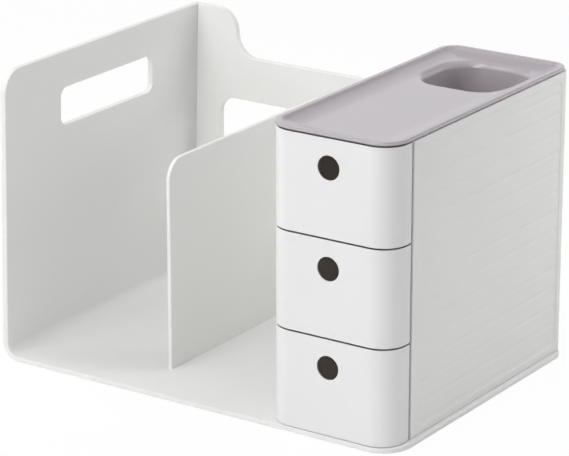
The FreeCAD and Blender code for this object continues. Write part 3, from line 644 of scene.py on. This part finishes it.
rib_low = (BAY_LEFT + PAN_PLAY, RIB_REAR - RIB_THICK, RIB_LOW)
rib_high = (BAY_RIGHT - PAN_PLAY, RIB_REAR, PAN_LOW)
dress(soft_block("tray_stop_rib", rib_low, rib_high, RIB_SOFT), "taupe_tray", "stand")


# %% [markdown]
# ## The drawer fronts
#
# A front is a thin plate that wraps round both corners of the cabinet, with one hole for a
# finger. A bevelled box with a boolean hole would do from afar, but its corners would shade
# badly round the hole. Think of it unrolled instead: a flat strip with a round hole. Rings run
# from the hole to the strip's edge, over the edge, and back to the hole on the inside, so the
# skin closes on itself. Then the strip is rolled round the corners: a distance s along the
# strip becomes a place in plan.

# %% Rolling a strip round two corners
class CornerWrap:
    """Plan of a front: a straight run, a quarter circle at each side, and two short returns."""

    def __init__(self, low, high, radius):
        self.middle = (low[0] + high[0]) / 2
        self.half = (high[0] - low[0]) / 2 - radius
        self.face = low[1]
        self.radius = radius
        self.length = 2 * (self.half + radius * math.pi / 2 + high[1] - low[1] - radius)

    def place(self, s, depth):
        """Plan position at distance s from the middle, and at a depth behind the outer face.

        The turn a is 0 on the straight run and 90 degrees on the returns. The outer face is
        (sin a, 1 - cos a) times the radius past the straight run, and (sin a, -cos a) points
        out of it.
        """
        side = np.sign(s)
        away = np.abs(s)
        turn = np.clip((away - self.half) / self.radius, 0, math.pi / 2)
        beyond = np.maximum(away - self.half - self.radius * math.pi / 2, 0)
        sideways = np.minimum(away, self.half) + (self.radius - depth) * np.sin(turn)
        x = self.middle + side * sideways
        y = self.face + self.radius - (self.radius - depth) * np.cos(turn) + beyond
        return x, y


# %% The outline of a flat strip
STRIP_SIDE_POINTS = (84, 150)
STRIP_CORNER_POINTS = 6
STRIP_CORNER = 0.9


def strip_ring(half_length, half_height, corner):
    """A rectangle's outline about its middle with small round corners, as (s, height) pairs.

    A corner is its centre plus its radius times (cos a, sin a) over a quarter turn.
    """
    turns = np.linspace(-math.pi / 2, 0, STRIP_CORNER_POINTS)[None, :] + QUARTER_TURNS
    signs = np.array([[1, -1], [1, 1], [-1, 1], [-1, -1]])
    centres = signs * np.array([half_length - corner, half_height - corner])
    corners = centres[:, None, :] + corner * np.stack([np.cos(turns), np.sin(turns)], -1)
    parts = []
    for k, count in enumerate(STRIP_SIDE_POINTS * 2):
        parts += [corners[k], spread(corners[k, -1], corners[(k + 1) % 4, 0], count)]
    return np.concatenate(parts)


# %% [markdown]
# Seen from the front, a drawer front looks thick or thin by its edges alone. Here the outer
# edge is a small round, and behind it the plate is chamfered, so the seam between two fronts
# is a crisp dark line. The finger hole is made the same way: thin at its mouth, wider behind.

# %% Rings of an unrolled front
HOLE_RADIUS, HOLE_HEIGHT = 8.1, 46.5
HOLE_SOFT, HOLE_EDGE, HOLE_FLARE = 0.4, 0.9, 1.2
FRONT_SOFT, FRONT_EDGE, FRONT_FLARE = 0.35, 0.5, 0.75
FACE_RINGS, BACK_RINGS = 44, 40


class FlatFront:
    """Rings from the hole's mouth outwards and back, each at its depth behind the outer face."""

    def __init__(self, half):
        self.half = half
        self.hole = np.array([0, HOLE_HEIGHT - half[1]])
        towards_edge = self.edge(FRONT_SOFT) - self.hole
        self.directions = towards_edge / np.linalg.norm(towards_edge, axis=1)[:, None]
        self.rings, self.depths = [], []

    def edge(self, inset):
        """The strip's outline, drawn in by an inset."""
        return strip_ring(self.half[0] - inset, self.half[1] - inset, STRIP_CORNER - inset)

    def mouth(self, grow):
        """The hole's circle: its centre plus (radius + grow) times each ring point's direction."""
        return self.hole + self.directions * (HOLE_RADIUS + grow)

    def add(self, ring, depth):
        """One ring at one depth."""
        self.rings.append(ring)
        self.depths.append(np.full(len(ring), depth))

    def add_between(self, first, last, steps, depth):
        """The rings strictly between two rings, all at one depth."""
        for ring in ramp(first, last, steps)[:-1]:
            self.add(ring, depth)


def unrolled_front(half):
    """The hole's round mouth, the face, the round edge, its chamfer, the back, the hole's chamfer.

    A round is a quarter circle: radius times 1 - sin a one way, radius times 1 - cos a the other.
    """
    strip = FlatFront(half)
    for s, c in zip(*quarter(6)):
        strip.add(strip.mouth(HOLE_SOFT * (1 - c)), HOLE_SOFT * (1 - s))
    strip.add_between(strip.mouth(HOLE_SOFT), strip.edge(FRONT_SOFT), FACE_RINGS, 0.0)
    for s, c in zip(*quarter(8)):
        strip.add(strip.edge(FRONT_SOFT * (1 - s)), FRONT_SOFT * (1 - c))
    for share in (0, 0.5):
        depth = FRONT_EDGE + (FRONT_THICK - FRONT_EDGE) * share
        strip.add(strip.edge(FRONT_FLARE * share), depth)
    strip.add_between(strip.edge(FRONT_FLARE), strip.mouth(HOLE_FLARE), BACK_RINGS, FRONT_THICK)
    for share in (1, 0.5, 0):
        depth = HOLE_EDGE + (FRONT_THICK - HOLE_EDGE) * share
        strip.add(strip.mouth(HOLE_FLARE * share), depth)
    return np.array(strip.rings), np.array(strip.depths)


# %% Rolling an unrolled front into its place
FRONT_CORNER = 17.5


def front_surface(low, high):
    """The rings of a front between two corners of a box: strip to plan, height stays height."""
    wrap = CornerWrap(low, high, FRONT_CORNER)
    half = np.array([wrap.length / 2, (high[2] - low[2]) / 2])
    flat, depth = unrolled_front(half)
    x, y = wrap.place(flat[..., 0], depth)
    return np.stack([x, y, flat[..., 1] + (low[2] + high[2]) / 2], -1)


# %% [markdown]
# Each front is held to its box by four pegs whose ends are melted flat inside the drawer. One
# sees them only with the drawer open. Their heads are low domes, made by turning a quarter
# ellipse about the peg's axis.

# %% Domes of the melted pegs
PEG_SPREAD, PEG_HEIGHTS = 46.0, (16.0, 52.0)
BOX_WALL = 1.6
DOME_RADIUS, DOME_TALL, DOME_END = 3.2, 0.8, 84
DOME_RINGS, DOME_POINTS = 7, 28


def peg_domes(name, front_low, front_high):
    """Four domes: radius times cos a, height times sin a, for a from 0 to nearly 90 degrees."""
    middle = (front_low[0] + front_high[0]) / 2
    base = FRONT_INSIDE + BOX_WALL
    sines, cosines = quarter(DOME_RINGS, 0, DOME_END)
    around = np.linspace(0, 2 * math.pi, DOME_POINTS, endpoint=False)
    reach = DOME_RADIUS * cosines[:, None]
    forward = np.broadcast_to(base + DOME_TALL * sines[:, None], (DOME_RINGS, DOME_POINTS))
    first = np.arange(DOME_POINTS)
    last = first + (DOME_RINGS - 1) * DOME_POINTS
    count = DOME_RINGS * DOME_POINTS
    side = ring_quads(DOME_RINGS, DOME_POINTS)
    one_dome = np.concatenate([side, fan_quads(first[::-1], count), fan_quads(last, count + 1)])
    all_points, all_quads = [], []
    for x in (middle - PEG_SPREAD / 2, middle + PEG_SPREAD / 2):
        for z in (front_low[2] + PEG_HEIGHTS[0], front_low[2] + PEG_HEIGHTS[1]):
            dome = np.stack([x + reach * np.cos(around), forward, z + reach * np.sin(around)], -1)
            all_quads.append(one_dome + len(all_quads) * (count + 2))
            all_points += [dome.reshape(-1, 3), [[x, base, z]], [[x, base + DOME_TALL, z]]]
    return mesh_from(name, np.concatenate(all_points), np.concatenate(all_quads))


# %% Three fronts and their pegs
FRONT_PLAY, FRONT_TRIM = 2.6, 0.13
LEVELS = ("bottom", "middle", "top")

for level in LEVELS:
    node = f"{level}_drawer_front"
    low, high = box_mm(node)
    trim = np.array([0, 0, FRONT_TRIM])
    rear = np.array([high[0], WALL_LOW[1] - FRONT_PLAY, high[2]])
    surface = front_surface(low + trim, rear - trim)
    faces = ring_quads(surface.shape[0], surface.shape[1], wrap_rows=True)
    front = mesh_from(f"{level}_wrapped_front", surface.reshape(-1, 3), faces)
    dress(front, "white_drawer", f"{level}_drawer", node)
    dress(peg_domes(f"{level}_peg_heads", low, high), "white_drawer", f"{level}_drawer")


# %% [markdown]
# ## The ribbed side of the cabinet
#
# The outer wall has a shallow field with round corners and fourteen fine grooves. This could be
# bump in the material, but then the exported mesh would be flat. So the relief is real: the
# wall's outer skin is a height field over (distance along the wall, height).

# %% Sizes of the outer wall and its relief
WALL_BOTTOM, WALL_SOFT = 4.5, 0.5
REAR_CORNER, REAR_RETURN = 8.0, 14.0
FIELD_FRONT, FIELD_REAR = 7.2, 10.5
FIELD_BELOW, FIELD_ABOVE = 5.2, 4.8
FIELD_CORNER, FIELD_DEEP, FIELD_EDGE = 7.0, 0.6, 1.2
GROOVE_FIRST, GROOVE_SPACING, GROOVE_COUNT = 12.2, 13.72, 14
GROOVE_HALF, GROOVE_DEEP, GROOVE_INSET, GROOVE_FADE = 2.2, 0.4, 3.4, 1.2
WALL_STRAIGHT = WALL_HIGH[1] - WALL_LOW[1] - REAR_CORNER
WALL_TURN = REAR_CORNER * math.pi / 2
WALL_LENGTH = WALL_STRAIGHT + WALL_TURN + REAR_RETURN - REAR_CORNER
FIELD_END = WALL_HIGH[1] - FIELD_REAR - WALL_LOW[1]
print(f"the wall is {WALL_LENGTH:.1f} mm long when unrolled")


# %% The relief
def smooth_step(value):
    """0 below 0, 1 above 1, and a soft S between: 3v^2 - 2v^3."""
    v = np.clip(value, 0, 1)
    return v * v * (3 - 2 * v)


def relief(along, z):
    """How far the skin lies below the wall's plain face, in millimetres.

    The distance to a rectangle with round corners is the length of the part of (|offset| - half
    size + radius) that is positive, less the radius. The field's edge is a soft step of that
    distance. A groove is a cosine hollow, faded out at both of its ends.
    """
    low = np.array([FIELD_FRONT, WALL_BOTTOM + FIELD_BELOW])
    high = np.array([FIELD_END, WALL_HIGH[2] - FIELD_ABOVE])
    middle, half = (low + high) / 2, (high - low) / 2
    beside = np.abs(along - middle[0]) - half[0]
    above = np.abs(z - middle[1]) - half[1]
    over = np.stack([beside, above], -1) + FIELD_CORNER
    outside = np.linalg.norm(np.maximum(over, 0), axis=-1) + np.minimum(over.max(axis=-1), 0)
    inside = FIELD_CORNER - outside
    number = np.clip(np.round((z - GROOVE_FIRST) / GROOVE_SPACING), 0, GROOVE_COUNT - 1)
    across = z - GROOVE_FIRST - GROOVE_SPACING * number
    hollow = 0.5 + 0.5 * np.cos(np.clip(across / GROOVE_HALF, -1, 1) * math.pi)
    ends = smooth_step((inside - GROOVE_INSET + GROOVE_FADE) / GROOVE_FADE)
    return FIELD_DEEP * smooth_step(inside / FIELD_EDGE) + GROOVE_DEEP * hollow * ends


# %% The wall's plan and its round edges
def wall_plan(along, depth):
    """Plan position at a distance along the wall from its front edge, at a depth behind its face.

    Straight to the rear, then a quarter circle (cos a, sin a) times the radius, then inwards.
    """
    turn = np.clip((along - WALL_STRAIGHT) / REAR_CORNER, 0, math.pi / 2)
    beyond = np.maximum(along - WALL_STRAIGHT - WALL_TURN, 0)
    x = WALL_HIGH[0] - REAR_CORNER + (REAR_CORNER - depth) * np.cos(turn) - beyond
    y = WALL_LOW[1] + np.minimum(along, WALL_STRAIGHT) + (REAR_CORNER - depth) * np.sin(turn)
    return x, y


def edge_drop(from_edge_a, from_edge_b, radius):
    """How far a round edge falls at given distances from two edges of a plate.

    Within one radius of an edge the skin follows a quarter circle; where two edges meet, a
    sphere: radius less the root of radius^2 - a^2 - b^2.
    """
    a = np.maximum(radius - from_edge_a, 0)
    b = np.maximum(radius - from_edge_b, 0)
    return radius - np.sqrt(np.maximum(radius**2 - a**2 - b**2, 0))


# %% [markdown]
# An even grid fine enough for the grooves would have far more faces than it needs. So the grid
# lines are listed first: a coarse step everywhere, and a fine one near edges and grooves.

# %% Grid lines that gather near features
FIELD_SPAN, EDGE_SPAN, GROOVE_SPAN = 0.6, 0.8, 0.2
BEND_LINES = 14


def gathered(start, end, coarse, spans, fine):
    """Grid lines from start to end: a coarse step everywhere and a fine one inside the spans."""
    lines = [np.arange(start, end, coarse), [end]]
    lines += [np.arange(max(a, start), min(b, end), fine) for a, b in spans]
    lines = np.unique(np.round(np.concatenate(lines), 3))
    keep = np.concatenate([[True], np.diff(lines) > fine * 0.45])
    keep[-1] = True
    return lines[keep]


def lines_along():
    """Grid lines along the wall, with some more where it bends."""
    spans = [
        (0, EDGE_SPAN), (WALL_LENGTH - EDGE_SPAN, WALL_LENGTH),
        (FIELD_FRONT - FIELD_SPAN, FIELD_FRONT + FIELD_CORNER),
        (FIELD_END - FIELD_CORNER, FIELD_END + FIELD_SPAN),
    ]
    bend = WALL_STRAIGHT + np.linspace(0, WALL_TURN, BEND_LINES)
    return np.unique(np.concatenate([gathered(0, WALL_LENGTH, 6.0, spans, 0.28), bend]))


def lines_up():
    """Grid lines up the wall, gathered at its edges, the field's edges and every groove."""
    bottom, top = WALL_BOTTOM, WALL_HIGH[2]
    field_low, field_high = bottom + FIELD_BELOW, top - FIELD_ABOVE
    spans = [
        (bottom, bottom + EDGE_SPAN), (top - EDGE_SPAN, top),
        (field_low - FIELD_SPAN, field_low + FIELD_CORNER),
        (field_high - FIELD_CORNER, field_high + FIELD_SPAN),
    ]
    half = GROOVE_HALF + GROOVE_SPAN
    spans += [(z - half, z + half) for z in GROOVE_FIRST + GROOVE_SPACING * np.arange(GROOVE_COUNT)]
    return gathered(bottom, top, 5.0, spans, 0.36)


# %% The outer wall as a closed shell
def shell_quads(rows, columns):
    """Faces of two equal grids that lie back to back, and of the strips that join their borders."""
    index = np.arange(rows * columns).reshape(rows, columns)
    corners = [index[:-1, :-1], index[1:, :-1], index[1:, 1:], index[:-1, 1:]]
    skin = np.stack(corners, -1).reshape(-1, 4)
    back = skin[:, ::-1] + rows * columns
    border = np.concatenate([index[:-1, 0], index[-1, :-1], index[:0:-1, -1], index[0, :0:-1]])
    after = np.roll(border, -1)
    strips = np.stack([after, border, border + rows * columns, after + rows * columns], -1)
    return np.concatenate([skin, back, strips])


along, z = np.meshgrid(lines_along(), lines_up(), indexing="ij")
to_end = np.minimum(along, WALL_LENGTH - along)
to_rim = np.minimum(z - WALL_BOTTOM, WALL_HIGH[2] - z)
drop = edge_drop(to_end, to_rim, WALL_SOFT)
outer_skin = np.stack([*wall_plan(along, np.maximum(relief(along, z), drop)), z], -1)
inner_skin = np.stack([*wall_plan(along, OUTER_THICK - drop), z], -1)
wall_points = np.concatenate([outer_skin.reshape(-1, 3), inner_skin.reshape(-1, 3)])
ribbed_wall = mesh_from("ribbed_side_wall", wall_points, shell_quads(*along.shape))
dress(ribbed_wall, "white_shell", "stand", "cabinet_outer_wall")


# %% [markdown]
# ## The plain mouldings
#
# The floor, the rear panel, the divider, the inner walls, the shelves, the drawer boxes and the
# feet already have their round edges in the engineering frame. Its meshes are loose triangles,
# though, which shade as facets. A merged copy with smooth shading, kept sharp where faces meet
# at more than 35 degrees, looks moulded.

# %% Merged copies of the frame's own shapes
SHARP_ANGLE = math.radians(35)
WELD_DISTANCE = 1e-6


def merged_copy(name, node):
    """A copy of a node whose triangles share their corners, smooth up to the sharp angle."""
    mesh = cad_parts[node].data.copy()
    mesh.name = name
    edit = bmesh.new()
    edit.from_mesh(mesh)
    bmesh.ops.remove_doubles(edit, verts=edit.verts, dist=WELD_DISTANCE)
    for face in edit.faces:
        face.smooth = True
    for edge in edit.edges:
        edge.smooth = edge.is_manifold and edge.calc_face_angle(math.pi) < SHARP_ANGLE
    edit.to_mesh(mesh)
    edit.free()
    if "custom_normal" in mesh.attributes:
        mesh.attributes.remove(mesh.attributes["custom_normal"])
    return add_object(name, mesh)


# %% [markdown]
# Behind each front's finger hole lies the box's own hole. Were both equally wide, the box would
# show as a pale crescent inside the thin front. In a moulded drawer the box stands back a
# little, so the copy's hole is made wider. Moving its edge points is enough for that.

# %% A wider hole behind the finger hole
HOLE_BACK = HOLE_FLARE + 0.4


def widen_finger_hole(box, front_node):
    """Each point on the hole's edge goes to centre + (point - centre) / distance * new radius."""
    low, high = box_mm(front_node)
    centre = np.array([(low[0] + high[0]) / 2, low[2] + HOLE_HEIGHT]) * MM
    places = np.empty(len(box.data.vertices) * 3)
    box.data.vertices.foreach_get("co", places)
    places = places.reshape(-1, 3)
    offset = places[:, [0, 2]] - centre
    distance = np.linalg.norm(offset, axis=1)
    in_wall = places[:, 1] < (FRONT_INSIDE + BOX_WALL + 0.5) * MM
    on_edge = in_wall & (np.abs(distance - HOLE_RADIUS * MM) < 0.3 * MM)
    direction = offset[on_edge] / distance[on_edge, None]
    wider = centre + direction * (HOLE_RADIUS + HOLE_BACK) * MM
    places[on_edge, 0], places[on_edge, 2] = wider.T
    box.data.vertices.foreach_set("co", places.ravel())
    box.data.update()
    print(box.name, "hole points moved:", int(on_edge.sum()))


# %% Dressing the plain mouldings
PLAIN = {
    "bent_floor_and_end": ("base_and_end_panel", "white_shell", "stand"),
    "rear_panel": ("back_panel", "white_panel", "stand"),
    "book_divider": ("divider", "white_panel", "stand"),
    "inner_side_wall": ("cabinet_inner_wall", "white_shell", "stand"),
    "cabinet_rear": ("cabinet_rear_wall", "white_shell", "stand"),
    "shelf_under_middle_drawer": ("lower_shelf", "white_shell", "stand"),
    "shelf_under_top_drawer": ("upper_shelf", "white_shell", "stand"),
    "feet": ("rubber_feet", "grey_rubber", "stand"),
}
for level in LEVELS:
    PLAIN[f"{level}_box"] = (f"{level}_drawer_box", "drawer_box", f"{level}_drawer")

for name, (node, finish, body) in PLAIN.items():
    moulding = merged_copy(name, node)
    if node.endswith("_drawer_box"):
        widen_finger_hole(moulding, node.replace("box", "front"))
    dress(moulding, finish, body, node)
print("plain mouldings:", len(PLAIN))


# %% [markdown]
# ## The floor
#
# The floor is a wide white plane. If it were only lit, it would be grey in one place and burnt
# out in another. So the camera and reflections see nearly all plain white glow there, and just
# enough of the lit floor to keep a faint shadow under the feet.

# %% A white floor that keeps its shadow
FLOOR_HALF = 3.0
FLOOR_GLOW = 0.95


def floor_material():
    """White diffuse, and for camera and glossy rays mostly a glow of strength 1, which is white."""
    material = bpy.data.materials.new("studio_floor")
    tree = cleared_tree(material)
    diffuse = add_node(tree, "ShaderNodeBsdfDiffuse")
    fill(diffuse, Color=(0.9, 0.9, 0.9, 1))
    glow = add_node(tree, "ShaderNodeEmission")
    path = add_node(tree, "ShaderNodeLightPath")
    seen = add_node(tree, "ShaderNodeMath", operation="MAXIMUM")
    share = add_node(tree, "ShaderNodeMath", operation="MULTIPLY")
    share.inputs[1].default_value = FLOOR_GLOW
    mix = add_node(tree, "ShaderNodeMixShader")
    out = add_node(tree, "ShaderNodeOutputMaterial")
    connect(
        tree,
        (path, "Is Camera Ray", seen, 0), (path, "Is Glossy Ray", seen, 1), (seen, 0, share, 0),
        (share, 0, mix, 0), (diffuse, 0, mix, 1), (glow, 0, mix, 2), (mix, 0, out, "Surface"),
    )
    return material


floor_mesh = bpy.data.meshes.new("studio_floor")
signs = ((-1, -1), (1, -1), (1, 1), (-1, 1))
floor_corners = [(x * FLOOR_HALF, y * FLOOR_HALF, 0) for x, y in signs]
floor_mesh.from_pydata(floor_corners, [], [(0, 1, 2, 3)])
floor = add_object("studio_floor", floor_mesh)
floor_mesh.materials.append(floor_material())
print("floor:", 2 * FLOOR_HALF, "m wide")


# %% [markdown]
# ## The surroundings
#
# Round the object stands a white paper wall. The camera sees it everywhere. Reflections see it
# only up to its top edge, and above that a dark room. That edge makes a glossy tray look
# glossy: bright where it mirrors the paper and calmer where it mirrors the room. The light on
# the object comes from the lamps, so the room itself gives next to none.

# %% A white wall with a top edge
ROOM_LIGHT = 0.02
WALL_FADE_START, WALL_FADE_END = 0.38, 0.50


def studio_world():
    """White for the camera. For glossy rays, white times (1 below the wall's edge, 0 above it)."""
    world = bpy.data.worlds.new("studio")
    tree = cleared_tree(world)
    room = add_node(tree, "ShaderNodeBackground")
    fill(room, Color=(1, 1, 1, 1), Strength=ROOM_LIGHT)
    paper = add_node(tree, "ShaderNodeBackground")
    path = add_node(tree, "ShaderNodeLightPath")
    direction = add_node(tree, "ShaderNodeTexCoord")
    height = add_node(tree, "ShaderNodeSeparateXYZ")
    below_edge = add_node(tree, "ShaderNodeMapRange")
    fill(below_edge, From_Min=WALL_FADE_END, From_Max=WALL_FADE_START)
    mirrored = add_node(tree, "ShaderNodeMath", operation="MULTIPLY")
    through = add_node(tree, "ShaderNodeMath", operation="MAXIMUM")
    seen = add_node(tree, "ShaderNodeMath", operation="MAXIMUM")
    mix = add_node(tree, "ShaderNodeMixShader")
    out = add_node(tree, "ShaderNodeOutputWorld")
    connect(
        tree,
        (direction, "Generated", height, 0), (height, "Z", below_edge, "Value"),
        (path, "Is Glossy Ray", mirrored, 0), (below_edge, "Result", mirrored, 1),
        (path, "Is Camera Ray", through, 0), (path, "Is Transmission Ray", through, 1),
        (through, 0, seen, 0), (mirrored, 0, seen, 1), (seen, 0, mix, 0),
        (room, 0, mix, 1), (paper, 0, mix, 2), (mix, 0, out, "Surface"),
    )
    return world


bpy.context.scene.world = studio_world()


# %% [markdown]
# ## The lamps
#
# White plastic needs large soft lamps: a small one would burn out one spot and leave hard
# shadows. The front ones set the tone of the drawer fronts. The right ones, one of them near,
# let the side wall grow lighter to the rear. Three front lamps show as highlights. The others
# only fill, and are left out of reflections, so that the cup's lip has one highlight, not five.

# %% Soft lamps
def soft_lamp(name, place, aim, size, power, mirrored=True):
    """A square area lamp at a place, turned so that its face looks at its aim."""
    lamp = bpy.data.lights.new(name, "AREA")
    lamp.shape = "SQUARE"
    lamp.size = size
    lamp.energy = power
    holder = add_object(name, lamp)
    holder.location = place
    holder.visible_glossy = mirrored
    holder.rotation_euler = (Vector(aim) - Vector(place)).to_track_quat("-Z", "Y").to_euler()
    return holder


AIM = (0, 0, 0.1)
LAMPS = [
    soft_lamp("middle_front", (0.2, -2.1, 0.9), AIM, 1.2, 17),
    soft_lamp("top_front", (0, -1.3, 1.8), AIM, 1.6, 9),
    soft_lamp("left_front_high", (-0.6, -1.3, 1.6), AIM, 0.8, 6.5),
    soft_lamp("over_head", (0, -0.2, 2.0), AIM, 1.6, 8, False),
    soft_lamp("left_top", (-1.6, -0.2, 1.5), AIM, 1.4, 20, False),
    soft_lamp("right_rear_high", (1.0, 0.9, 1.9), AIM, 1.0, 12, False),
    soft_lamp("right_rear_near", (0.62, 0.62, 0.4), AIM, 0.5, 2.2, False),
]
print(f"lamps: {len(LAMPS)} with {sum(lamp.data.energy for lamp in LAMPS):.0f} W")


# %% [markdown]
# ## The camera
#
# The camera is a long lens from the front right, a little above the tray. Such a lens, far
# away, keeps the drawers' lines nearly parallel. Its place is written as angles round a point
# inside the object, because those are easy to read and to change.

# %% The camera
AZIMUTH, ELEVATION = math.radians(33.929), math.radians(18.727)
DISTANCE = 2.08612
SIDE_STEP, RISE = -0.00038, -0.00631
LOOK_AT = Vector((-0.0004, 0, 0.1006))
FOCAL_PIXELS, FRAME_WIDTH, SENSOR = 3068.46, 569, 36.0

level_sight = math.cos(ELEVATION)
back = Vector((
    math.sin(AZIMUTH) * level_sight, -math.cos(AZIMUTH) * level_sight, math.sin(ELEVATION)
))
right = Vector((0, 0, 1)).cross(back).normalized()
up = back.cross(right)
lens = bpy.data.cameras.new("camera")
lens.sensor_width = SENSOR
lens.lens = FOCAL_PIXELS / FRAME_WIDTH * SENSOR
lens.clip_end = 20
camera = add_object("camera", lens)
place = Matrix.Translation(LOOK_AT + right * SIDE_STEP + up * RISE + back * DISTANCE)
camera.matrix_world = place @ Matrix((right, up, back)).transposed().to_4x4()
bpy.context.scene.camera = camera
bpy.context.scene.view_settings.view_transform = "Standard"
print(f"camera: {lens.lens:.0f} mm lens, {DISTANCE:.2f} m away")
